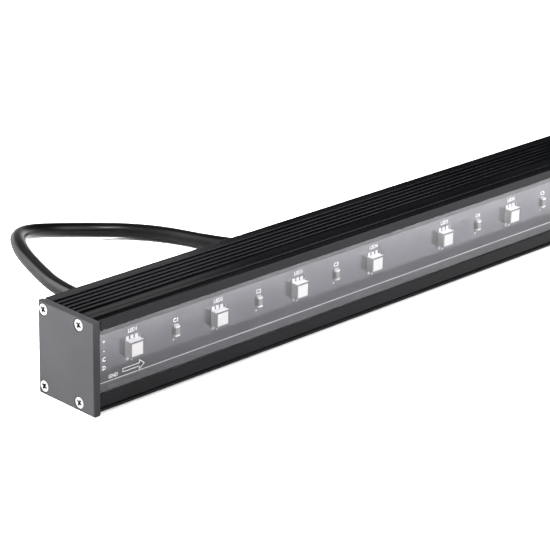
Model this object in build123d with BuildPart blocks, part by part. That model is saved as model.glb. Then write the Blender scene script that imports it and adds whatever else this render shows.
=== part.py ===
"""LED strip batten: an extruded aluminium bar with a clear window, one LED board and one lead.

Millimetres. X runs along the bar, Y from the window (front, -Y) to the back, Z up.
The origin is under the middle of the bar, on the surface that it stands on.
"""

import math
import os

from build123d import *

# ---- the bar ----
LED_PITCH = 100 / 3
LED_COUNT = 15
BAR_LENGTH = LED_PITCH * LED_COUNT
DEPTH = 24.0
HEIGHT = 28.5
GASKET_THICK = 0.4
PLATE_THICK = 2.2

END = BAR_LENGTH / 2
PLATE_FACE = END + GASKET_THICK + PLATE_THICK
FRONT = -DEPTH / 2
BACK = DEPTH / 2

# ---- housing section, as distances behind the front face and heights ----
LIP = 1.1
COVER_LIP = 0.35
WINDOW_LOW = 6.4
WINDOW_HIGH = 25.6
COVER_SLOT = 1.5
COVER_SLOT_LOW = 5.2
COVER_SLOT_HIGH = 26.6
BOARD_FACE = 6.0
BOARD_THICK = 1.6
TAPE_THICK = 0.2
WEB_FACE = BOARD_FACE + BOARD_THICK + TAPE_THICK
WEB_THICK = 1.5
WALL = 1.6
CAVITY_LOW = 5.6
CAVITY_HIGH = 26.1
FRONT_CHAMFER = 1.85
SHADOW_LINE = 0.6
SHADOW_LINE_Z = 2.2

# ---- ribbed top ----
GROOVE_DEPTH = 1.0
LIP_GROOVE_END = 3.6
RIB_FIELD = (7.8, 20.5)
RIB_COUNT = 5
RIB_WIDTH = 0.9
RIB_PITCH = 2.13
FIRST_RIB = 10.15
TOP_EDGE_RADIUS = 0.2
SCRIBE_AT = 5.2
SCRIBE = 0.25

# ---- end fixings ----
SCREW_INSET_Z = 2.45
SCREW_FRONT = 6.5
SCREW_BACK = 21.9
PORT_RADIUS = 1.05
BOSS_RADIUS = 2.0
HEAD_RADIUS = 1.7
HEAD_SINK = 0.15
COUNTERSINK_RADIUS = 2.0
SCREW_LENGTH = 10.0
SCREW_RADIUS = 1.0

# ---- T-slot and its nuts ----
SLOT_CENTRE = 13.5
SLOT_MOUTH = 4.4
SLOT_WIDTH = 7.4
SLOT_FLOOR = 1.3
SLOT_TOP = 4.1
NUT_SIDE = 7.0
NUT_THICK = 2.2
NUT_THREAD_RADIUS = 1.65
NUT_AT = 125.0

# ---- board ----
BOARD_LOW = 6.0
BOARD_WIDTH = 15.0
LED_Z = 14.3
LED_SIDE = 5.0
LED_THICK = 2.5
LED_WINDOW = (4.2, 3.9)
LENS_THICK = 0.35
CHIP_Z = 14.5
CHIP_SHIFT = 0.4
CHIP_LENGTH = 3.2
CHIP_SIDE = 1.6
CHIP_THICK = 0.85
CHIP_END = 0.5
GAPS_BETWEEN_BARE_ONES = 4

# ---- lead ----
CABLE_RADIUS = 2.5
CABLE_Z = 14.0
CABLE_X = 32.4 - PLATE_FACE
BOOT_END = 29.0
TAIL_INNER_END = 5.5
WALL_HOLE_RADIUS = 4.2
CONNECTOR_START = (176.0, 28.0, 7.6)

CABLE_ROUTE = [
    (CABLE_X, BOOT_END, CABLE_Z),
    (CABLE_X, 42, CABLE_Z),
    (-214.4, 59, 13.6),
    (-206, 79, 13),
    (-192.3, 97.6, 10.3),
    (-168.3, 101.4, 4),
    (-145.6, 86, 2.6),
    (-136.7, 60, 2.6),
    (-124.6, 41, 2.6),
    (-100.6, 29, 2.6),
    (-61.6, 26, 2.6),
    (-16.6, 29.5, 2.6),
    (29.4, 26.5, 2.6),
    (75.4, 29.5, 2.6),
    (117, 27.5, 4.4),
    (151, 28, 7.6),
    CONNECTOR_START,
]


def behind(distance):
    """Y of a place so far behind the front face."""
    return FRONT + distance


def section_box(near, far, low, high, mode=Mode.SUBTRACT):
    """A rectangle of the section, from near to far behind the front face."""
    with Locations((behind((near + far) / 2), (low + high) / 2)):
        Rectangle(far - near, high - low, mode=mode)


def save(builder, name):
    """Labels a finished piece and writes it."""
    builder.part.label = name
    export_step(builder.part, f"parts/{name}.step")


def corner_radii(points):
    """The largest easy arc at each corner of a route, from its runs and its turn."""
    radii = []
    for before, here, after in zip(points, points[1:], points[2:]):
        run_in = Vector(*here) - Vector(*before)
        run_out = Vector(*after) - Vector(*here)
        turn = math.radians(run_in.get_angle(run_out))
        radii.append(0.45 * min(run_in.length, run_out.length) / math.tan(turn / 2))
    return radii


os.makedirs("parts", exist_ok=True)

SCREW_PLACES = [
    (behind(distance), height)
    for distance in (SCREW_FRONT, SCREW_BACK)
    for height in (SCREW_INSET_Z, HEIGHT - SCREW_INSET_Z)
]
LED_PLACES = [-END + LED_PITCH * (i + 0.5) for i in range(LED_COUNT)]
CHIP_PLACES = [
    -END + LED_PITCH * (i + 1) + CHIP_SHIFT
    for i in range(LED_COUNT - 1)
    if (i + 1) % GAPS_BETWEEN_BARE_ONES
]

# ---------------------------------------------------------------- housing
WIRE_WINDOW = (12.0, 8.0, 20.0)
LEDGE = (6.2, 21.1, 22.0)

with BuildPart() as housing:
    with BuildSketch(Plane.YZ.offset(-END)) as section:
        with Locations((0, HEIGHT / 2)):
            Rectangle(DEPTH, HEIGHT)
        bottom = section.vertices().group_by(Axis.Y)[0]
        chamfer(bottom.sort_by(Axis.X)[0], FRONT_CHAMFER)
        # the window, the slots that hold the cover, and the space in front of the board
        section_box(-1, COVER_LIP + 1, WINDOW_LOW, WINDOW_HIGH)
        section_box(COVER_LIP, WEB_FACE, BOARD_LOW, WINDOW_HIGH)
        section_box(COVER_LIP, COVER_LIP + COVER_SLOT, COVER_SLOT_LOW, COVER_SLOT_HIGH)
        section_box(LEDGE[0], WEB_FACE, LEDGE[1], LEDGE[2], Mode.ADD)
        # the wire space behind the web
        section_box(WEB_FACE + WEB_THICK, DEPTH - WALL, CAVITY_LOW, CAVITY_HIGH)
        with Locations(*SCREW_PLACES):
            Circle(BOSS_RADIUS)
            Circle(PORT_RADIUS, mode=Mode.SUBTRACT)
        # the T-slot along the bottom
        half_mouth, half_slot = SLOT_MOUTH / 2, SLOT_WIDTH / 2
        section_box(SLOT_CENTRE - half_mouth, SLOT_CENTRE + half_mouth, -1, SLOT_FLOOR)
        section_box(SLOT_CENTRE - half_slot, SLOT_CENTRE + half_slot, SLOT_FLOOR, SLOT_TOP)
        # the shadow line above the bottom edge
        half_line = SHADOW_LINE / 2
        section_box(-1, SHADOW_LINE, SHADOW_LINE_Z - half_line, SHADOW_LINE_Z + half_line)
        # the ribbed top: a groove behind the lip, then a field of thin ribs
        section_box(LIP, LIP_GROOVE_END, HEIGHT - GROOVE_DEPTH, HEIGHT + 1)
        section_box(*RIB_FIELD, HEIGHT - GROOVE_DEPTH, HEIGHT + 1)
        for i in range(RIB_COUNT):
            rib = FIRST_RIB + i * RIB_PITCH
            section_box(rib - RIB_WIDTH / 2, rib + RIB_WIDTH / 2, HEIGHT - GROOVE_DEPTH, HEIGHT, Mode.ADD)
        fillet(section.vertices().group_by(Axis.Y)[-1], TOP_EDGE_RADIUS)
        section_box(SCRIBE_AT - SCRIBE / 2, SCRIBE_AT + SCRIBE / 2, HEIGHT - SCRIBE, HEIGHT + 1)
    extrude(amount=BAR_LENGTH)
    # the wires pass through the web behind the board's near end
    with Locations((-END + WIRE_WINDOW[0] / 2, behind(WEB_FACE + WEB_THICK / 2), sum(WIRE_WINDOW[1:]) / 2)):
        Box(WIRE_WINDOW[0], WEB_THICK, WIRE_WINDOW[2] - WIRE_WINDOW[1], mode=Mode.SUBTRACT)
    # the hole for the lead's strain relief
    with BuildSketch(Plane.XZ.offset(-BACK)):
        with Locations((CABLE_X, CABLE_Z)):
            Circle(WALL_HOLE_RADIUS)
    extrude(amount=WALL, mode=Mode.SUBTRACT)
save(housing, "housing")

# ---------------------------------------------------------------- front cover
COVER_GAP = 0.05
COVER_THICK = 1.4
COVER_HIGH = 26.4

with BuildPart() as front_cover:
    with BuildSketch(Plane.YZ.offset(-END)):
        section_box(COVER_LIP + COVER_GAP, COVER_LIP + COVER_GAP + COVER_THICK, COVER_SLOT_LOW, COVER_HIGH, Mode.ADD)
    extrude(amount=BAR_LENGTH)
save(front_cover, "front_cover")

# ---------------------------------------------------------------- ends
PLATE_CHAMFER = 0.2
TOP_RELIEF = (0.4, 0.3)
GASKET_INSET = 0.25
GASKET_TOP_INSET = 0.25
GASKET_HOLE = 1.4
PLATE_HOLE = 1.2
RECESS_LENGTH = 2.1
RECESS_WIDTH = 0.7
RECESS_DEPTH = 0.7


def end_plate(side):
    """The plate on one end, with countersunk holes; side is -1 at the near end, 1 at the far end."""
    inner = side * (END + GASKET_THICK)
    with BuildPart() as plate:
        with BuildSketch(Plane.YZ.offset(inner)):
            with Locations((0, HEIGHT / 2)):
                Rectangle(DEPTH, HEIGHT)
        extrude(amount=side * PLATE_THICK)
        outer_edges = plate.faces().sort_by(Axis.X)[0 if side < 0 else -1].edges()
        chamfer(outer_edges, PLATE_CHAMFER)
        inner_face = plate.faces().sort_by(Axis.X)[-1 if side < 0 else 0]
        top_edge = inner_face.edges().sort_by(Axis.Z)[-1]
        chamfer(top_edge, TOP_RELIEF[0], TOP_RELIEF[1], reference=plate.faces().sort_by(Axis.Z)[-1])
        outward = Plane(origin=(side * PLATE_FACE, 0, 0), x_dir=(0, 1, 0), z_dir=(side, 0, 0))
        with BuildSketch(outward):
            with Locations(*[(y, side * z) for y, z in SCREW_PLACES]):
                Circle(PLATE_HOLE)
        extrude(amount=-PLATE_THICK, mode=Mode.SUBTRACT)
        for y, z in SCREW_PLACES:
            sink = Plane(origin=(side * PLATE_FACE, y, z), z_dir=(-side, 0, 0))
            with BuildSketch(sink):
                Circle(COUNTERSINK_RADIUS)
            with BuildSketch(sink.offset(COUNTERSINK_RADIUS - PLATE_HOLE)):
                Circle(PLATE_HOLE)
            loft(mode=Mode.SUBTRACT)
    return plate


def end_gasket(side):
    """The thin seal between a plate and the housing."""
    height = HEIGHT - GASKET_INSET - GASKET_TOP_INSET
    with BuildPart() as gasket:
        with BuildSketch(Plane.YZ.offset(side * END)):
            with Locations((0, GASKET_INSET + height / 2)):
                Rectangle(DEPTH - 2 * GASKET_INSET, height)
            with Locations(*SCREW_PLACES):
                Circle(GASKET_HOLE, mode=Mode.SUBTRACT)
        extrude(amount=side * GASKET_THICK)
    return gasket


def end_screws(side):
    """The four countersunk screws of one end, each with a cross recess."""
    head_top = PLATE_FACE - HEAD_SINK
    cone = HEAD_RADIUS - SCREW_RADIUS
    with BuildPart() as screws:
        for y, z in SCREW_PLACES:
            axis = Plane(origin=(side * head_top, y, z), x_dir=(0, 1, 0), z_dir=(-side, 0, 0))
            with BuildSketch(axis):
                Circle(HEAD_RADIUS)
            with BuildSketch(axis.offset(cone)):
                Circle(SCREW_RADIUS)
            loft()
            with BuildSketch(axis.offset(cone)):
                Circle(SCREW_RADIUS)
            extrude(amount=SCREW_LENGTH - cone)
            with BuildSketch(axis):
                Rectangle(RECESS_LENGTH, RECESS_WIDTH, rotation=30)
                Rectangle(RECESS_LENGTH, RECESS_WIDTH, rotation=120)
            extrude(amount=RECESS_DEPTH, mode=Mode.SUBTRACT)
    return screws


for side, place in ((-1, "near"), (1, "far")):
    save(end_plate(side), f"end_plate_{place}")
    save(end_gasket(side), f"end_gasket_{place}")
    save(end_screws(side), f"end_screws_{place}")

# ---------------------------------------------------------------- board and what is on it
WIRE_HOLE = 0.5
WIRE_Z = {"positive": 18.4, "negative": 15.8, "clock": 13.2, "data": 10.6}
WIRE_X = 5.0 - PLATE_FACE

board_face = Plane(origin=(0, behind(BOARD_FACE), 0), x_dir=(1, 0, 0), z_dir=(0, -1, 0))

with BuildPart() as circuit_board:
    with BuildSketch(board_face):
        with Locations((0, BOARD_LOW + BOARD_WIDTH / 2)):
            Rectangle(BAR_LENGTH, BOARD_WIDTH)
        with Locations(*[(WIRE_X, z) for z in WIRE_Z.values()]):
            Circle(WIRE_HOLE, mode=Mode.SUBTRACT)
    extrude(amount=-BOARD_THICK)
save(circuit_board, "circuit_board")

TAPE_START = 13.0
TAPE_MARGIN = 1.0

with BuildPart() as thermal_tape:
    with BuildSketch(board_face.offset(-BOARD_THICK)):
        with Locations((TAPE_START / 2, BOARD_LOW + BOARD_WIDTH / 2)):
            Rectangle(BAR_LENGTH - TAPE_START, BOARD_WIDTH - 2 * TAPE_MARGIN)
    extrude(amount=-TAPE_THICK)
save(thermal_tape, "thermal_tape")

LED_CORNER_MARK = 0.7
LENS_CORNER = 0.5

with BuildPart() as led_bodies:
    with BuildSketch(board_face):
        with Locations(*[(x, LED_Z) for x in LED_PLACES]):
            Rectangle(LED_SIDE, LED_SIDE)
            # one corner is cut off to show which way round the LED goes
            with Locations((-LED_SIDE / 2, -LED_SIDE / 2)):
                Rectangle(LED_CORNER_MARK, LED_CORNER_MARK, rotation=45, mode=Mode.SUBTRACT)
    extrude(amount=LED_THICK)
    with BuildSketch(board_face.offset(LED_THICK)):
        with Locations(*[(x, LED_Z) for x in LED_PLACES]):
            RectangleRounded(*LED_WINDOW, LENS_CORNER)
    extrude(amount=-LENS_THICK, mode=Mode.SUBTRACT)
save(led_bodies, "led_bodies")

with BuildPart() as led_lenses:
    with BuildSketch(board_face.offset(LED_THICK)):
        with Locations(*[(x, LED_Z) for x in LED_PLACES]):
            RectangleRounded(*LED_WINDOW, LENS_CORNER)
    extrude(amount=-LENS_THICK)
save(led_lenses, "led_lenses")

TERMINAL_WIDTH = 1.0
TERMINAL_PITCH = 1.7
TERMINAL_THICK = 0.15
TERMINAL_REACH = 1.1
TERMINAL_RISE = 0.9

with BuildPart() as led_terminals:
    terminal_columns = [x + i * TERMINAL_PITCH for x in LED_PLACES for i in (-1, 0, 1)]
    feet = LED_SIDE / 2 + TERMINAL_REACH / 2
    uprights = LED_SIDE / 2 + TERMINAL_THICK / 2
    with BuildSketch(board_face):
        with Locations(*[(x, LED_Z + end * feet) for x in terminal_columns for end in (-1, 1)]):
            Rectangle(TERMINAL_WIDTH, TERMINAL_REACH)
    extrude(amount=TERMINAL_THICK)
    with BuildSketch(board_face):
        with Locations(*[(x, LED_Z + end * uprights) for x in terminal_columns for end in (-1, 1)]):
            Rectangle(TERMINAL_WIDTH, TERMINAL_THICK)
    extrude(amount=TERMINAL_RISE)
save(led_terminals, "led_terminals")

with BuildPart() as chip_capacitors:
    with BuildSketch(board_face):
        with Locations(*[(x, CHIP_Z) for x in CHIP_PLACES]):
            Rectangle(CHIP_SIDE, CHIP_LENGTH - 2 * CHIP_END)
    extrude(amount=CHIP_THICK)
save(chip_capacitors, "chip_capacitors")

with BuildPart() as capacitor_ends:
    end_centre = (CHIP_LENGTH - CHIP_END) / 2
    with BuildSketch(board_face):
        with Locations(*[(x, CHIP_Z + end * end_centre) for x in CHIP_PLACES for end in (-1, 1)]):
            Rectangle(CHIP_SIDE, CHIP_END)
    extrude(amount=CHIP_THICK)
save(capacitor_ends, "capacitor_ends")

JOINT_RADIUS = 0.85
JOINT_HEIGHT = 0.6

with BuildPart() as solder_joints:
    for height in WIRE_Z.values():
        pin = Plane(origin=(WIRE_X, behind(BOARD_FACE), height), z_dir=(0, -1, 0))
        with BuildSketch(pin):
            Circle(JOINT_RADIUS)
        with BuildSketch(pin.offset(JOINT_HEIGHT)):
            Circle(WIRE_HOLE)
        loft()
        with BuildSketch(pin):
            Circle(WIRE_HOLE - 0.02)
        extrude(amount=-BOARD_THICK)
save(solder_joints, "solder_joints")

# ---------------------------------------------------------------- wires inside the housing
WIRE_RADIUS = 0.6
WIRE_OFFSET = 0.9
WIRE_BEND = 1.0
WIRE_CORNER_X = -END + 7
WIRE_STARTS = {"positive": (-1, 1, 3.4), "negative": (1, 1, 1.6), "clock": (1, -1, 1.6), "data": (-1, -1, 3.4)}

for name, (across, up, turn_y) in WIRE_STARTS.items():
    start = (CABLE_X + across * WIRE_OFFSET, TAIL_INNER_END, CABLE_Z + up * WIRE_OFFSET)
    wire_route = [
        start,
        (start[0], turn_y, start[2]),
        (WIRE_CORNER_X, -0.6, WIRE_Z[name]),
        (WIRE_X, -1.8, WIRE_Z[name]),
        (WIRE_X, behind(BOARD_FACE + BOARD_THICK), WIRE_Z[name]),
    ]
    with BuildPart() as wire:
        with BuildLine():
            FilletPolyline(*wire_route, radius=WIRE_BEND)
        with BuildSketch(Plane(origin=start, z_dir=(0, -1, 0))):
            Circle(WIRE_RADIUS)
        sweep()
    save(wire, f"wire_{name}")

# ---------------------------------------------------------------- lead
BOOT_BORE = CABLE_RADIUS + 0.05
BOOT_FLANGE = (6.0, 1.6)
BOOT_SHOULDER = (5.2, 1.5)
BOOT_NECK = WALL_HOLE_RADIUS - 0.05
BOOT_ROOT = 4.7
BOOT_TIP = 3.1
BOOT_RINGS = 4
BOOT_RING_PITCH = 3.1
BOOT_RING_WIDTH = 1.1
BOOT_RING_DEPTH = 0.6

with BuildPart() as strain_relief:
    lead_plane = Plane(origin=(CABLE_X, 0, CABLE_Z), x_dir=(1, 0, 0), z_dir=(0, 0, 1))
    inner_wall = BACK - WALL
    flange_end = BACK + BOOT_FLANGE[1]
    with BuildSketch(lead_plane):
        with BuildLine():
            Polyline(
                (BOOT_BORE, inner_wall - BOOT_SHOULDER[1]),
                (BOOT_SHOULDER[0], inner_wall - BOOT_SHOULDER[1]),
                (BOOT_SHOULDER[0], inner_wall),
                (BOOT_NECK, inner_wall),
                (BOOT_NECK, BACK),
                (BOOT_FLANGE[0], BACK),
                (BOOT_FLANGE[0], flange_end),
                (BOOT_ROOT, flange_end),
                (BOOT_TIP, BOOT_END),
                (BOOT_BORE, BOOT_END),
                close=True,
            )
        make_face()
    revolve(axis=Axis((CABLE_X, 0, CABLE_Z), (0, 1, 0)))
    # the ring grooves that let it bend
    taper = (BOOT_ROOT - BOOT_TIP) / (BOOT_END - flange_end)
    for i in range(BOOT_RINGS):
        ring_y = flange_end + 2.4 + i * BOOT_RING_PITCH
        outer = BOOT_ROOT - taper * (ring_y - flange_end)
        ring = Plane(origin=(CABLE_X, ring_y, CABLE_Z), z_dir=(0, 1, 0))
        with BuildSketch(ring):
            Circle(outer + 1)
            Circle(outer - BOOT_RING_DEPTH, mode=Mode.SUBTRACT)
        extrude(amount=BOOT_RING_WIDTH, mode=Mode.SUBTRACT)
save(strain_relief, "strain_relief")

with BuildPart() as cable_tail:
    with BuildSketch(Plane(origin=(CABLE_X, TAIL_INNER_END, CABLE_Z), z_dir=(0, 1, 0))):
        Circle(CABLE_RADIUS)
    extrude(amount=BOOT_END - TAIL_INNER_END)
save(cable_tail, "cable_tail")

cable_radii = corner_radii(CABLE_ROUTE)
with BuildPart() as cable:
    with BuildLine() as cable_line:
        FilletPolyline(*CABLE_ROUTE, radius=cable_radii)
    with BuildSketch(Plane(origin=CABLE_ROUTE[0], z_dir=(0, 1, 0))):
        Circle(CABLE_RADIUS)
    sweep()
save(cable, "cable")
cable_length = cable_line.wire().length
print("cable corner radii", [round(radius, 1) for radius in cable_radii])
print("cable length", round(cable_length, 1), "volume", round(cable.part.volume, 1))
print("section times length", round(math.pi * CABLE_RADIUS**2 * cable_length, 1))

# ---------------------------------------------------------------- connector on the lead's end
CONNECTOR_X, CONNECTOR_Y, CONNECTOR_Z = CONNECTOR_START
connector_axis = Axis(CONNECTOR_START, (1, 0, 0))
connector_plane = Plane(origin=CONNECTOR_START, x_dir=(1, 0, 0), z_dir=(0, -1, 0))
SOCKET_RADIUS = 3.6
SOCKET_FLOOR = 40.0
NOSE_END = 50.0
COLLAR = (5.7, 36.0, 38.0)

with BuildPart() as connector_body:
    with BuildSketch(connector_plane):
        with BuildLine():
            Polyline(
                (0, 0),
                (0, 3.3),
                (20, 5.0),
                (22, 6.0),
                (31, 6.0),
                (31, 4.7),
                (COLLAR[1], 4.7),
                (COLLAR[1], COLLAR[0]),
                (COLLAR[2], COLLAR[0]),
                (COLLAR[2], 4.5),
                (NOSE_END, 4.5),
                (NOSE_END, SOCKET_RADIUS),
                (SOCKET_FLOOR - 6, SOCKET_RADIUS),
                (SOCKET_FLOOR - 6, 0),
                close=True,
            )
        make_face()
    revolve(axis=connector_axis)
    # finger grips round the body
    with BuildSketch(Plane.YZ.offset(CONNECTOR_X + 23)):
        with Locations((CONNECTOR_Y, CONNECTOR_Z)):
            with PolarLocations(6.2, 12):
                Circle(0.55)
    extrude(amount=7, mode=Mode.SUBTRACT)
save(connector_body, "connector_body")

PIN_RADIUS = 0.5
PIN_CIRCLE = 1.9

with BuildPart() as connector_insert:
    with BuildSketch(Plane.YZ.offset(CONNECTOR_X + SOCKET_FLOOR - 6)):
        with Locations((CONNECTOR_Y, CONNECTOR_Z)):
            Circle(SOCKET_RADIUS)
            with PolarLocations(PIN_CIRCLE, 4, start_angle=45):
                Circle(PIN_RADIUS, mode=Mode.SUBTRACT)
    extrude(amount=6)
save(connector_insert, "connector_insert")

with BuildPart() as connector_pins:
    with BuildSketch(Plane.YZ.offset(CONNECTOR_X + SOCKET_FLOOR - 6)):
        with Locations((CONNECTOR_Y, CONNECTOR_Z)):
            with PolarLocations(PIN_CIRCLE, 4, start_angle=45):
                Circle(PIN_RADIUS)
    extrude(amount=13)
    chamfer(connector_pins.faces().group_by(Axis.X)[-1].edges(), 0.2)
save(connector_pins, "connector_pins")

with BuildPart() as connector_seal:
    with BuildSketch(connector_plane):
        with Locations((COLLAR[2] + 0.7, 5.1)):
            Circle(0.6)
    revolve(axis=connector_axis)
save(connector_seal, "connector_seal")

NUT_REAR = 32.0
NUT_FRONT = 50.0
NUT_OUTER = 7.4
NUT_INNER = 5.95
FLUTES = 20

with BuildPart() as coupling_nut:
    with BuildSketch(connector_plane):
        with BuildLine():
            Polyline(
                (NUT_REAR, 4.95),
                (NUT_REAR, NUT_OUTER),
                (NUT_FRONT, NUT_OUTER),
                (NUT_FRONT, NUT_INNER),
                (COLLAR[1] - 0.4, NUT_INNER),
                (COLLAR[1] - 0.4, 4.95),
                close=True,
            )
        make_face()
    revolve(axis=connector_axis)
    chamfer(coupling_nut.edges().filter_by(GeomType.CIRCLE).sort_by(SortBy.RADIUS)[-2:], 0.5)
    with BuildSketch(Plane.YZ.offset(CONNECTOR_X + NUT_REAR + 2)):
        with Locations((CONNECTOR_Y, CONNECTOR_Z)):
            with PolarLocations(NUT_OUTER + 0.15, FLUTES):
                Circle(0.6)
    extrude(amount=NUT_FRONT - NUT_REAR - 4, mode=Mode.SUBTRACT)
save(coupling_nut, "coupling_nut")

# ---------------------------------------------------------------- sliding nuts in the T-slot
for place, centre in (("near", -NUT_AT), ("far", NUT_AT)):
    nut_low = (SLOT_FLOOR + SLOT_TOP - NUT_THICK) / 2
    with BuildPart() as slot_nut:
        with BuildSketch(Plane.XY.offset(nut_low)):
            with Locations((centre, behind(SLOT_CENTRE))):
                Rectangle(NUT_SIDE, NUT_SIDE)
        extrude(amount=NUT_THICK)
        chamfer(slot_nut.edges().filter_by(Axis.Z), 0.5)
        with BuildSketch(Plane.XY.offset(nut_low)):
            with Locations((centre, behind(SLOT_CENTRE))):
                Circle(NUT_THREAD_RADIUS)
        extrude(amount=NUT_THICK, mode=Mode.SUBTRACT)
    save(slot_nut, f"slot_nut_{place}")
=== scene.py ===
"""LED strip batten on a pale floor: materials, printed board, soldering, lead, lights and camera.

Metres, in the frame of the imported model: X along the bar, -Y out of the window, Z up.
"""

import math

import bmesh
import bpy
from mathutils import Matrix, Vector


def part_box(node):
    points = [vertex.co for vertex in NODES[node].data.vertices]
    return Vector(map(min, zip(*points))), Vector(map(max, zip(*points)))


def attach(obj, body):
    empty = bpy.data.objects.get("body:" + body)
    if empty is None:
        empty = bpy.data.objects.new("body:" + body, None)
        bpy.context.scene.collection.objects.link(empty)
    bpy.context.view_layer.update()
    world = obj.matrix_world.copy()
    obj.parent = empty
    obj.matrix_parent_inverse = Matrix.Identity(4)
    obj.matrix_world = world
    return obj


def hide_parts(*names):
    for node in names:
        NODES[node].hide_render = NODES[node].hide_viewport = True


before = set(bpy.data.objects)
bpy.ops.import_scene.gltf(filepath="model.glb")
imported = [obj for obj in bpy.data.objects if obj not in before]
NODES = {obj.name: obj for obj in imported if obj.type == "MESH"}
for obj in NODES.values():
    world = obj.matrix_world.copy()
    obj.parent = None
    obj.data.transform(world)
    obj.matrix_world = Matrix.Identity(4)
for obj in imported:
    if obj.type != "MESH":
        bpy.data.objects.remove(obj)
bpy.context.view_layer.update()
MM = 0.001

# ------------------------------------------------------------------ places taken from the model
BOARD_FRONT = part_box("circuit_board")[0].y
BAR_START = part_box("housing")[0].x
BAR_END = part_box("housing")[1].x
LED_PITCH = 100 / 3 * MM
LED_COUNT = 15
LED_X = [BAR_START + LED_PITCH * (i + 0.5) for i in range(LED_COUNT)]
LED_Z = 14.3 * MM
LED_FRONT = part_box("led_bodies")[0].y
LED_SIDE = 4.96 * MM
LED_WINDOW = (4.2 * MM, 3.9 * MM)
CHIP_SHIFT = 0.4 * MM
CHIP_X = [BAR_START + LED_PITCH * (i + 1) + CHIP_SHIFT for i in range(LED_COUNT - 1) if (i + 1) % 4]
CHIP_Z = 14.5 * MM
CHIP_HALF = (0.8 * MM, 1.6 * MM)
CABLE_DIAMETER = 5 * MM


# ------------------------------------------------------------------ camera
CAMERA_PLACE = Vector((-0.6300, -0.45838, 0.27235))
CAMERA_AZIMUTH = -45.085
CAMERA_ELEVATION = 21.401
CAMERA_ROLL = 1.242
CAMERA_LENS = 150.38


def make_camera():
    """The camera, turned by its azimuth, elevation and roll."""
    a, e, r = (math.radians(angle) for angle in (CAMERA_AZIMUTH, CAMERA_ELEVATION, CAMERA_ROLL))
    back = Vector((math.sin(a) * math.cos(e), -math.cos(a) * math.cos(e), math.sin(e)))
    right = Vector((math.cos(a), math.sin(a), 0))
    up = back.cross(right)
    rolled_right = math.cos(r) * right + math.sin(r) * up
    rolled_up = math.cos(r) * up - math.sin(r) * right
    data = bpy.data.cameras.new("camera")
    data.lens = CAMERA_LENS
    data.sensor_width = 36
    data.clip_start = 0.01
    data.clip_end = 50
    camera = bpy.data.objects.new("camera", data)
    bpy.context.scene.collection.objects.link(camera)
    turn = Matrix((rolled_right, rolled_up, back)).transposed()
    camera.matrix_world = Matrix.Translation(CAMERA_PLACE) @ turn.to_4x4()
    bpy.context.scene.camera = camera


make_camera()


# ------------------------------------------------------------------ material tools
def shader_of(made):
    return made.node_tree.nodes["Principled BSDF"]


def new_material(name, color, roughness, **sockets):
    """A material with a Principled shader; other sockets by name, with _ for a space."""
    made = bpy.data.materials.new(name)
    made.use_nodes = True
    inputs = shader_of(made).inputs
    inputs["Base Color"].default_value = (*color, 1)
    inputs["Roughness"].default_value = roughness
    for key, value in sockets.items():
        inputs[key.replace("_", " ")].default_value = value
    return made


def add_node(made, kind, inputs=None, **settings):
    """A node of that kind; an input is a value or the output socket that feeds it."""
    node = made.node_tree.nodes.new("ShaderNode" + kind)
    for key, value in settings.items():
        setattr(node, key, value)
    for key, value in (inputs or {}).items():
        if isinstance(value, bpy.types.NodeSocket):
            made.node_tree.links.new(value, node.inputs[key])
        else:
            node.inputs[key].default_value = value
    return node


def calculate(made, operation, first, second, **settings):
    """Two numbers put together by a Math node."""
    return add_node(made, "Math", {0: first, 1: second}, operation=operation, **settings).outputs["Value"]


def place_on(made, stretch=(1, 1, 1)):
    """Object coordinates in millimetres, squeezed by stretch."""
    coordinates = add_node(made, "TexCoord").outputs["Object"]
    scale = tuple(1000 * part for part in stretch)
    return add_node(made, "Mapping", {"Vector": coordinates, "Scale": scale}).outputs["Vector"]


def normal_along(made, axis):
    """How far the surface faces along an axis of the object, from -1 to 1."""
    normal = add_node(made, "TexCoord").outputs["Normal"]
    return add_node(made, "SeparateXYZ", {"Vector": normal}).outputs[axis]


def noise(made, scale, detail=2.0, stretch=(1, 1, 1)):
    """Noise of that many bumps per millimetre."""
    inputs = {"Vector": place_on(made, stretch), "Scale": scale, "Detail": detail}
    return add_node(made, "TexNoise", inputs).outputs["Fac"]


def spread(made, factor, low, high, start=0.3, end=0.7):
    """A number that goes from low to high as factor goes from start to end."""
    inputs = {"Value": factor, "From Min": start, "From Max": end, "To Min": low, "To Max": high}
    return add_node(made, "MapRange", inputs).outputs["Result"]


def tint(made, factor, dark, light):
    """A colour between two colours."""
    inputs = {"Factor": factor, "A": (*dark, 1), "B": (*light, 1)}
    return add_node(made, "Mix", inputs, data_type="RGBA").outputs["Result"]


def feed(made, socket, value):
    made.node_tree.links.new(value, shader_of(made).inputs[socket])


def bump(made, heights, distance):
    """Bumps from (height, strength) pairs, each over the last."""
    normal = None
    for height, strength in heights:
        inputs = {"Height": height, "Strength": strength, "Distance": distance}
        if normal is not None:
            inputs["Normal"] = normal
        normal = add_node(made, "Bump", inputs).outputs["Normal"]
    feed(made, "Normal", normal)


def finish_surface(made, color_noise, colors, rough_noise, rough_range):
    """Uneven colour and roughness from two noises."""
    feed(made, "Base Color", tint(made, spread(made, color_noise, 0, 1), *colors))
    feed(made, "Roughness", spread(made, rough_noise, *rough_range))


def dull_where(made, axis, roughness, start, end):
    """Raises the roughness to at least this where the normal goes from start to end along an axis."""
    low, high = sorted((start, end))
    shares = (0.0, roughness) if start < end else (roughness, 0.0)
    least = spread(made, normal_along(made, axis), *shares, low, high)
    usual = shader_of(made).inputs["Roughness"].links[0].from_socket
    feed(made, "Roughness", calculate(made, "MAXIMUM", usual, least))


# ------------------------------------------------------------------ materials
MATTE = 0.95
COVER_IOR = 1.49
COVER_FACES = 1.9  # the two faces of the cover together, as a multiple of one


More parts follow.
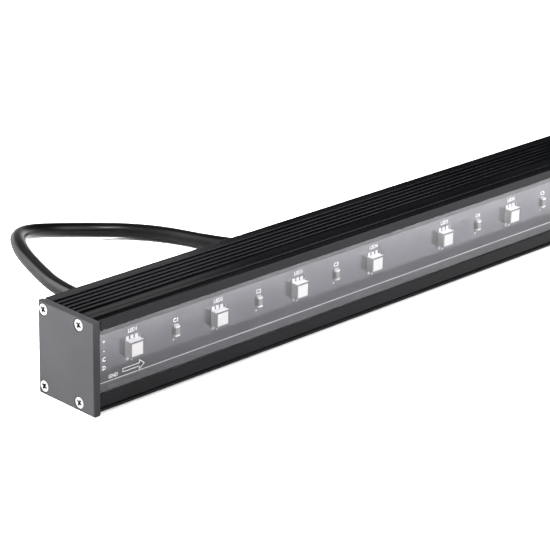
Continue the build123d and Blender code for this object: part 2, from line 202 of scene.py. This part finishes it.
def anodised(name, dark, light, rough_range, specular, drawn=True):
    """Dyed anodised aluminium: a fine etched grain, draw lines along X on an extrusion, matte underneath.

    A plate isn't drawn, and its top edge is matte too.
    """
    made = new_material(name, light, 0.4, Specular_Tint=(0.97, 0.93, 1.0, 1), Specular_IOR_Level=specular)
    grain = noise(made, 9.0, 3.0)
    lines = noise(made, 5.0, 2.0, stretch=(0.012, 1, 1)) if drawn else noise(made, 1.2, 3.0)
    cloud = noise(made, 0.09, 3.0, stretch=(0.35, 1, 1) if drawn else (1, 1, 1))
    finish_surface(made, cloud, (dark, light), lines, rough_range)
    dull_where(made, "Z", MATTE, -0.2, -0.65)
    if not drawn:
        dull_where(made, "Z", MATTE, 0.3, 0.6)
    bump(made, [(grain, 0.10), (lines, 0.12)], 0.03 * MM)
    return made


def metal(name, color, rough_range, metallic=1.0):
    """Bare or plated metal with fine uneven polish."""
    made = new_material(name, color, 0.3, Metallic=metallic)
    polish = noise(made, 3.0, 4.0)
    dull = tuple(0.82 * part for part in color)
    finish_surface(made, noise(made, 0.6), (dull, color), polish, rough_range)
    bump(made, [(polish, 0.15)], 0.01 * MM)
    return made


def moulded(name, dark, light, rough_range, grain_scale=6.0, grain=0.12, **sockets):
    """Moulded plastic or rubber with a fine spark-eroded grain."""
    made = new_material(name, light, 0.5, **sockets)
    texture = noise(made, grain_scale, 3.0)
    finish_surface(made, noise(made, 0.25), (dark, light), texture, rough_range)
    bump(made, [(texture, grain)], 0.05 * MM)
    return made


def jacket():
    """Satin black cable jacket, roughest on the side turned to the bar's near end."""
    dark, light = (0.0007, 0.0007, 0.0009), (0.0012, 0.0012, 0.0015)
    made = moulded("cable_jacket", dark, light, (0.31, 0.36), 3.0, 0.03, Specular_IOR_Level=0.09)
    dull_where(made, "X", 0.6, -0.2, -0.7)
    return made


def clear_cover():
    """A clear flat sheet: what is behind it shows, with the reflection of both its faces over it."""
    made = bpy.data.materials.new("clear_cover")
    made.use_nodes = True
    tree = made.node_tree
    tree.nodes.remove(shader_of(made))
    haze = noise(made, 0.05, 3.0, stretch=(0.3, 1, 1))
    gloss_inputs = {"Color": (0.97, 0.96, 1.0, 1), "Roughness": spread(made, haze, 0.07, 0.12)}
    gloss = add_node(made, "BsdfGlossy", gloss_inputs)
    clear = add_node(made, "BsdfTransparent", {"Color": (0.955, 0.95, 0.975, 1)})
    mirror = add_node(made, "Fresnel", {"IOR": COVER_IOR}).outputs["Fac"]
    inside = add_node(made, "NewGeometry").outputs["Backfacing"]
    outside = calculate(made, "SUBTRACT", 1.0, inside)
    both_faces = calculate(made, "MULTIPLY", mirror, COVER_FACES)
    share = calculate(made, "MULTIPLY", both_faces, outside, use_clamp=True)
    mixed = add_node(made, "MixShader", {0: share, 1: clear.outputs[0], 2: gloss.outputs[0]})
    tree.links.new(mixed.outputs[0], tree.nodes["Material Output"].inputs["Surface"])
    return made


def led_plastic_with_painted_shading():
    """White package plastic, its base colour painted lighter on its moulded top and darker on its sides as
    painted light and shade.
    """
    made = new_material("led_white", (0.7, 0.7, 0.68), 0.4)
    texture = noise(made, 8.0, 3.0)
    # painted light and shade: the base colour goes from grey on the sides to near white on the top, by
    # which way the surface faces
    feed(made, "Base Color", tint(made, normal_along(made, "Z"), (0.55, 0.55, 0.50), (0.96, 0.96, 0.90)))
    feed(made, "Roughness", spread(made, texture, 0.35, 0.5))
    bump(made, [(texture, 0.06)], 0.05 * MM)
    return made


def solder_mask():
    """Black solder mask, a faint weave of the laminate under a clear gloss."""
    made = new_material("board_black", (0.02, 0.02, 0.022), 0.2, Specular_IOR_Level=1.0, Coat_Weight=1.0,
                        Coat_Roughness=0.15)
    threads = []
    for axis in "XZ":
        inputs = {"Vector": place_on(made), "Scale": 0.5, "Distortion": 0.3}
        threads.append(add_node(made, "TexWave", inputs, bands_direction=axis).outputs["Fac"])
    weave = calculate(made, "ADD", *threads)
    cloud = noise(made, 0.12, 3.0, stretch=(0.5, 1, 1))
    colors = (0.016, 0.016, 0.018), (0.024, 0.024, 0.027)
    finish_surface(made, cloud, colors, noise(made, 1.5), (0.18, 0.24))
    bump(made, [(weave, 0.02)], 0.02 * MM)
    return made


PAINT = {
    "housing": anodised("anodised_black", (0.0015, 0.0015, 0.0018), (0.003, 0.003, 0.0036),
                        (0.20, 0.28), 0.16),
    "end_plate_near": anodised("end_plate_black", (0.008, 0.008, 0.0092), (0.012, 0.012, 0.0137),
                               (0.28, 0.36), 0.3, drawn=False),
    "end_gasket_near": moulded("gasket_rubber", (0.006, 0.006, 0.006), (0.012, 0.012, 0.012), (0.6, 0.8)),
    "end_screws_near": metal("screw_steel", (0.42, 0.42, 0.41), (0.22, 0.36)),
    "front_cover": clear_cover(),
    "circuit_board": solder_mask(),
    "thermal_tape": moulded("thermal_tape", (0.6, 0.6, 0.62), (0.75, 0.75, 0.76), (0.6, 0.8)),
    "led_bodies": led_plastic_with_painted_shading(),
    # painted glow: a faint emission brightens the LED windows, which are not lit
    "led_lenses": moulded("led_window", (0.53, 0.53, 0.48), (0.59, 0.59, 0.53), (0.12, 0.2), 2.0, 0.05,
                          Emission_Color=(1, 1, 0.97, 1), Emission_Strength=0.05),
    "led_terminals": metal("tinned_metal", (0.95, 0.95, 0.93), (0.40, 0.55), metallic=0.4),
    "chip_capacitors": moulded("capacitor_body", (0.15, 0.14, 0.12), (0.20, 0.185, 0.16), (0.35, 0.5)),
    "solder_joints": metal("solder", (0.80, 0.80, 0.79), (0.15, 0.35)),
    "wire_positive": moulded("wire_red", (0.42, 0.01, 0.01), (0.55, 0.02, 0.02), (0.35, 0.5)),
    "wire_negative": moulded("wire_black", (0.010, 0.010, 0.010), (0.02, 0.02, 0.02), (0.35, 0.5)),
    "wire_clock": moulded("wire_blue", (0.01, 0.05, 0.35), (0.02, 0.08, 0.45), (0.35, 0.5)),
    "wire_data": moulded("wire_green", (0.01, 0.25, 0.05), (0.02, 0.32, 0.08), (0.35, 0.5)),
    "strain_relief": moulded("boot_rubber", (0.010, 0.010, 0.010), (0.018, 0.018, 0.019), (0.45, 0.6)),
    "cable_tail": jacket(),
    "connector_body": moulded("connector_black", (0.012, 0.012, 0.012), (0.022, 0.022, 0.022), (0.4, 0.55)),
    "connector_insert": moulded("insert_plastic", (0.05, 0.05, 0.05), (0.07, 0.07, 0.07), (0.4, 0.55)),
    "connector_pins": metal("pin_brass", (0.86, 0.66, 0.28), (0.15, 0.3)),
    "connector_seal": moulded("seal_rubber", (0.35, 0.05, 0.03), (0.45, 0.07, 0.04), (0.4, 0.55)),
    "coupling_nut": moulded("coupling_black", (0.014, 0.014, 0.014), (0.024, 0.024, 0.024), (0.38, 0.5)),
    "slot_nut_near": metal("nut_steel", (0.66, 0.66, 0.68), (0.25, 0.45)),
}
SAME_AS = {
    "end_plate_far": "end_plate_near",
    "end_gasket_far": "end_gasket_near",
    "end_screws_far": "end_screws_near",
    "capacitor_ends": "led_terminals",
    "slot_nut_far": "slot_nut_near",
    "cable": "cable_tail",
}


def paint(piece, made):
    piece.data.materials.clear()
    piece.data.materials.append(made)


for node_name, node in NODES.items():
    paint(node, PAINT[SAME_AS.get(node_name, node_name)])


# ------------------------------------------------------------------ mesh tools
def new_piece(name, mesh, made):
    """A finished piece that rides on the bar."""
    piece = bpy.data.objects.new(name, mesh)
    paint(piece, made)
    bpy.context.scene.collection.objects.link(piece)
    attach(piece, "bar")


def mesh_from(work, name):
    """A bmesh as a mesh, with its normals outward."""
    bmesh.ops.recalc_face_normals(work, faces=work.faces)
    mesh = bpy.data.meshes.new(name)
    work.to_mesh(mesh)
    work.free()
    return mesh


def add_prism(work, near, far):
    """A closed solid between two outlines with the same number of vertices."""
    work.faces.new(near)
    work.faces.new(far[::-1])
    for i in range(len(near)):
        j = (i + 1) % len(near)
        work.faces.new((near[i], far[i], far[j], near[j]))


def add_slab(work, outline, front, thickness):
    """A thin slab on a surface at front: an outline of (x, z) points, standing thickness proud of it."""
    near = [work.verts.new((x, front - thickness, z)) for x, z in outline]
    far = [work.verts.new((x, front, z)) for x, z in outline]
    add_prism(work, near, far)


def rectangle(x, z, width, height):
    return [(x - width / 2, z - height / 2), (x + width / 2, z - height / 2),
            (x + width / 2, z + height / 2), (x - width / 2, z + height / 2)]


def arc(x, z, radius, start, end, steps=10):
    """Points along an arc from start to end, in degrees."""
    angles = [math.radians(start + (end - start) * i / steps) for i in range(steps + 1)]
    return [(x + radius * math.cos(angle), z + radius * math.sin(angle)) for angle in angles]


# ------------------------------------------------------------------ printing on the board
# a label is (right, up) and a dot (right, up, radius), from the middle of the LED or capacitor
PRINT_THICK = 0.02 * MM
PRINT_LINE = 0.24 * MM
INK_SPREAD = 0.05 * MM
CAPITAL_SHARE = 0.69
EDGE_LINE_Z = 6.2 * MM
EDGE_LINE_INSET = 0.3 * MM
EDGE_LINE_WIDTH = 0.19 * MM
LED_LABEL = (0.4 * MM, 5.1 * MM)
LED_LABEL_HEIGHT = 1.15 * MM
LED_DOT = (0, -3.7 * MM, 0.4 * MM)
# each arc beside an LED: right and up from its middle, radius, first and last angle
LED_ARCS = (
    (-2.0 * MM, -2.5 * MM, 0.75 * MM, 110, 250),
    (-1.6 * MM, -3.2 * MM, 0.55 * MM, 190, 350),
    (2.9 * MM, 2.7 * MM, 0.7 * MM, -50, 50),
)
CHIP_LABEL = (-0.1 * MM, 3.25 * MM)
CHIP_LABEL_HEIGHT = 1.25 * MM
CHIP_DOT = (-1.0 * MM, -2.6 * MM, 0.3 * MM)
WIRE_MARKS = (("+", 18.6 * MM), ("-", 15.9 * MM), ("C", 13.2 * MM), ("D", 10.6 * MM))
WIRE_MARK_X = BAR_START + 6.3 * MM
WIRE_MARK_HEIGHT = 1.2 * MM
GROUND_MARK = (BAR_START + 9.7 * MM, 7.4 * MM)
GROUND_MARK_HEIGHT = 1.1 * MM
ARROW_TAIL = BAR_START + 13.3 * MM
ARROW_NECK = BAR_START + 19.6 * MM
ARROW_TIP = BAR_START + 21.4 * MM
ARROW_SLANT = 0.1 * MM
ARROW_Z = 7.95 * MM
ARROW_HALF = 0.5 * MM
ARROW_WING = 1.44 * MM


def add_strokes(work, points, width=PRINT_LINE):
    """An open line of (x, z) points printed that wide, as one slab per run."""
    for start, end in zip(points, points[1:]):
        a, b = Vector(start), Vector(end)
        along = (b - a).normalized() * width / 2
        side = Vector((-along.y, along.x))
        corners = (a - along - side, b + along - side, b + along + side, a - along + side)
        add_slab(work, [tuple(corner) for corner in corners], BOARD_FRONT, PRINT_THICK)


def add_disc(work, x, z, radius):
    """A printed disc, as a slab with twelve corners."""
    add_slab(work, arc(x, z, radius, 0, 330, 11), BOARD_FRONT, PRINT_THICK)


def add_text(work, words, x, z, height):
    """Plain printed text with capitals of that height, centred at x, z."""
    curve = bpy.data.curves.new("print_text", "FONT")
    curve.body = words
    curve.align_x = "CENTER"
    curve.align_y = "CENTER"
    curve.size = height / CAPITAL_SHARE
    curve.extrude = PRINT_THICK / 2
    curve.offset = INK_SPREAD
    curve.resolution_u = 3
    text = bpy.data.objects.new("print_text", curve)
    mesh = bpy.data.meshes.new_from_object(text)
    stand = Matrix.Rotation(math.radians(90), 4, "X")
    mesh.transform(Matrix.Translation((x, BOARD_FRONT - PRINT_THICK / 2, z)) @ stand)
    work.from_mesh(mesh)
    bpy.data.meshes.remove(mesh)
    bpy.data.objects.remove(text)
    bpy.data.curves.remove(curve)


def add_arrow(work):
    """The outline of an arrow that points along the bar."""
    points = [(ARROW_TAIL, ARROW_Z - ARROW_HALF), (ARROW_NECK - ARROW_SLANT, ARROW_Z - ARROW_HALF),
              (ARROW_NECK, ARROW_Z - ARROW_WING), (ARROW_TIP, ARROW_Z), (ARROW_NECK, ARROW_Z + ARROW_WING),
              (ARROW_NECK - ARROW_SLANT, ARROW_Z + ARROW_HALF), (ARROW_TAIL, ARROW_Z + ARROW_HALF),
              (ARROW_TAIL, ARROW_Z - ARROW_HALF)]
    add_strokes(work, points)


def make_painted_rim_shade():
    """A dark grey rim round the window of every LED, painted shade on the front of the white package."""
    work = bmesh.new()
    for x in LED_X:
        outer, inner = rectangle(x, LED_Z, LED_SIDE, LED_SIDE), rectangle(x, LED_Z, *LED_WINDOW)
        for i in range(4):
            j = (i + 1) % 4
            add_slab(work, [outer[i], outer[j], inner[j], inner[i]], LED_FRONT, PRINT_THICK)
    # painted shade: the rim's dark grey stands for the shade on the front of each package
    made = moulded("led_rim_shade", (0.045, 0.045, 0.042), (0.065, 0.065, 0.060), (0.4, 0.55), 8.0, 0.08)
    new_piece("led_rims", mesh_from(work, "led_rims"), made)


def make_print():
    """The white print: edge line, LED and capacitor marks, wire marks, ground mark and arrow."""
    work = bmesh.new()
    ends = (BAR_START + EDGE_LINE_INSET, BAR_END - EDGE_LINE_INSET)
    add_strokes(work, [(x, EDGE_LINE_Z) for x in ends], EDGE_LINE_WIDTH)
    for number, x in enumerate(LED_X, 1):
        add_text(work, f"LED{number}", x + LED_LABEL[0], LED_Z + LED_LABEL[1], LED_LABEL_HEIGHT)
        for right, up, radius, start, end in LED_ARCS:
            add_strokes(work, arc(x + right, LED_Z + up, radius, start, end))
        right, up, radius = LED_DOT
        add_disc(work, x + right, LED_Z + up, radius)
    for number, x in enumerate(CHIP_X, 1):
        add_text(work, f"C{number}", x + CHIP_LABEL[0], CHIP_Z + CHIP_LABEL[1], CHIP_LABEL_HEIGHT)
        right, up, radius = CHIP_DOT
        add_disc(work, x + right, CHIP_Z + up, radius)
    for mark, height in WIRE_MARKS:
        add_text(work, mark, WIRE_MARK_X, height, WIRE_MARK_HEIGHT)
    add_text(work, "GND", *GROUND_MARK, GROUND_MARK_HEIGHT)
    add_arrow(work)
    made = moulded("board_print", (0.80, 0.80, 0.74), (0.88, 0.88, 0.82), (0.5, 0.65), 5.0, 0.05)
    new_piece("board_print", mesh_from(work, "board_print"), made)


make_painted_rim_shade()
make_print()


# ------------------------------------------------------------------ solder at the capacitors
FILLET_REACH = 0.45 * MM
FILLET_RISE = 0.6 * MM
FILLET_BEND = (0.4, 0.2)  # as shares of the reach and the rise


def make_fillets():
    """The sloped solder at both ends of every chip capacitor, hollow where it bends."""
    work = bmesh.new()
    half_width, half_length = CHIP_HALF
    bend_reach, bend_rise = FILLET_BEND
    for x in CHIP_X:
        for end in (-1, 1):
            foot = CHIP_Z + end * half_length
            profile = [(0, foot), (FILLET_RISE, foot),
                       (bend_rise * FILLET_RISE, foot + end * bend_reach * FILLET_REACH),
                       (0, CHIP_Z + end * (half_length + FILLET_REACH))]
            left, right = ([work.verts.new((side, BOARD_FRONT - rise, z)) for rise, z in profile]
                           for side in (x - half_width, x + half_width))
            add_prism(work, left, right)
    made = metal("capacitor_solder", (0.85, 0.85, 0.83), (0.2, 0.3), metallic=0.5)
    new_piece("capacitor_solder", mesh_from(work, "capacitor_solder"), made)


make_fillets()


# ------------------------------------------------------------------ the lead
CABLE_POINTS = [
    (-220.2, 29, 14),
    (-220.2, 42, 14),
    (-214.4, 59, 13.6),
    (-206, 79, 13),
    (-192.3, 97.6, 10.3),
    (-168.3, 101.4, 4),
    (-145.6, 86, 2.6),
    (-136.7, 60, 2.6),
    (-124.6, 41, 2.6),
    (-100.6, 29, 2.6),
    (-61.6, 26, 2.6),
    (-16.6, 29.5, 2.6),
    (29.4, 26.5, 2.6),
    (75.4, 29.5, 2.6),
    (117, 27.5, 4.4),
    (151, 28, 7.6),
    (176, 28, 7.6),
]


def make_cable():
    """The lead as a smooth curve, from the strain relief round its loop to the connector."""
    curve = bpy.data.curves.new("lead", "CURVE")
    curve.dimensions = "3D"
    curve.bevel_depth = CABLE_DIAMETER / 2
    curve.bevel_resolution = 8
    curve.resolution_u = 24
    curve.use_fill_caps = True
    spline = curve.splines.new("NURBS")
    spline.points.add(len(CABLE_POINTS) - 1)
    for point, place in zip(spline.points, CABLE_POINTS):
        point.co = (*[part * MM for part in place], 1)
    spline.order_u = 3
    spline.use_endpoint_u = True
    lead = bpy.data.objects.new("lead", curve)
    curve.materials.append(PAINT["cable_tail"])
    bpy.context.scene.collection.objects.link(lead)
    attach(lead, "bar")
    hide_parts("cable")


make_cable()


# ------------------------------------------------------------------ floor, light and view
FLOOR_HALF = 4
FLOOR_DROP = 0.05 * MM
WORLD_COLOR = (0.9, 0.93, 1.0, 1)
WORLD_STRENGTH = 0.02


def make_floor():
    """A plain pale floor, just under the bar so that the two don't share a face."""
    work = bmesh.new()
    bmesh.ops.create_grid(work, x_segments=8, y_segments=8, size=FLOOR_HALF)
    floor = bpy.data.objects.new("floor", mesh_from(work, "floor"))
    floor.location.z = -FLOOR_DROP
    made = new_material("floor_paper", (0.9, 0.9, 0.9), 0.8, Specular_IOR_Level=0.2,
                        Emission_Color=(1, 1, 1, 1), Emission_Strength=0.05)
    fibres = noise(made, 0.8, 3.0)
    feed(made, "Base Color", tint(made, fibres, (0.885, 0.885, 0.885), (0.915, 0.915, 0.915)))
    paint(floor, made)
    bpy.context.scene.collection.objects.link(floor)


def add_light(name, kind, place, aim, power):
    """A light at place, turned to aim."""
    data = bpy.data.lights.new(name, kind)
    data.energy = power
    light = bpy.data.objects.new(name, data)
    light.location = place
    light.rotation_mode = "QUATERNION"
    light.rotation_quaternion = (Vector(place) - Vector(aim)).to_track_quat("Z", "Y")
    bpy.context.scene.collection.objects.link(light)
    return data


def area_light(name, place, aim, side, power):
    """A square soft box."""
    add_light(name, "AREA", place, aim, power).size = side


def spot_light(name, place, aim, radius, power, cone):
    """A soft-edged spot with a cone that many degrees wide."""
    data = add_light(name, "SPOT", place, aim, power)
    data.shadow_soft_size = radius
    data.spot_size = math.radians(cone)
    data.spot_blend = 1.0


def make_world():
    """A little even light from all round."""
    world = bpy.data.worlds.new("studio")
    world.use_nodes = True
    background = world.node_tree.nodes["Background"].inputs
    background["Color"].default_value = WORLD_COLOR
    background["Strength"].default_value = WORLD_STRENGTH
    bpy.context.scene.world = world


make_floor()
area_light("front_softbox", place=(0.1, -1.05, 0.985), aim=(-0.05, -0.03, 0), side=1.2, power=26.5)
area_light("right_softbox", place=(0.15, -0.25, 0.30), aim=(-0.05, -0.04, 0), side=0.25, power=2.1)
area_light("left_softbox", place=(-0.75, 0.95, 0.6), aim=(-0.28, 0.02, 0), side=0.5, power=88)
area_light("rim_light", place=(0.0, 0.35, 0.22), aim=(-0.22, 0, 0.02), side=0.2, power=0.08)
spot_light("cable_spot", place=(-0.255, -0.263, 0.6), aim=(-0.157, 0.094, 0.003),
           radius=0.07, power=200, cone=6.5)
make_world()
bpy.context.scene.view_settings.view_transform = "Standard"
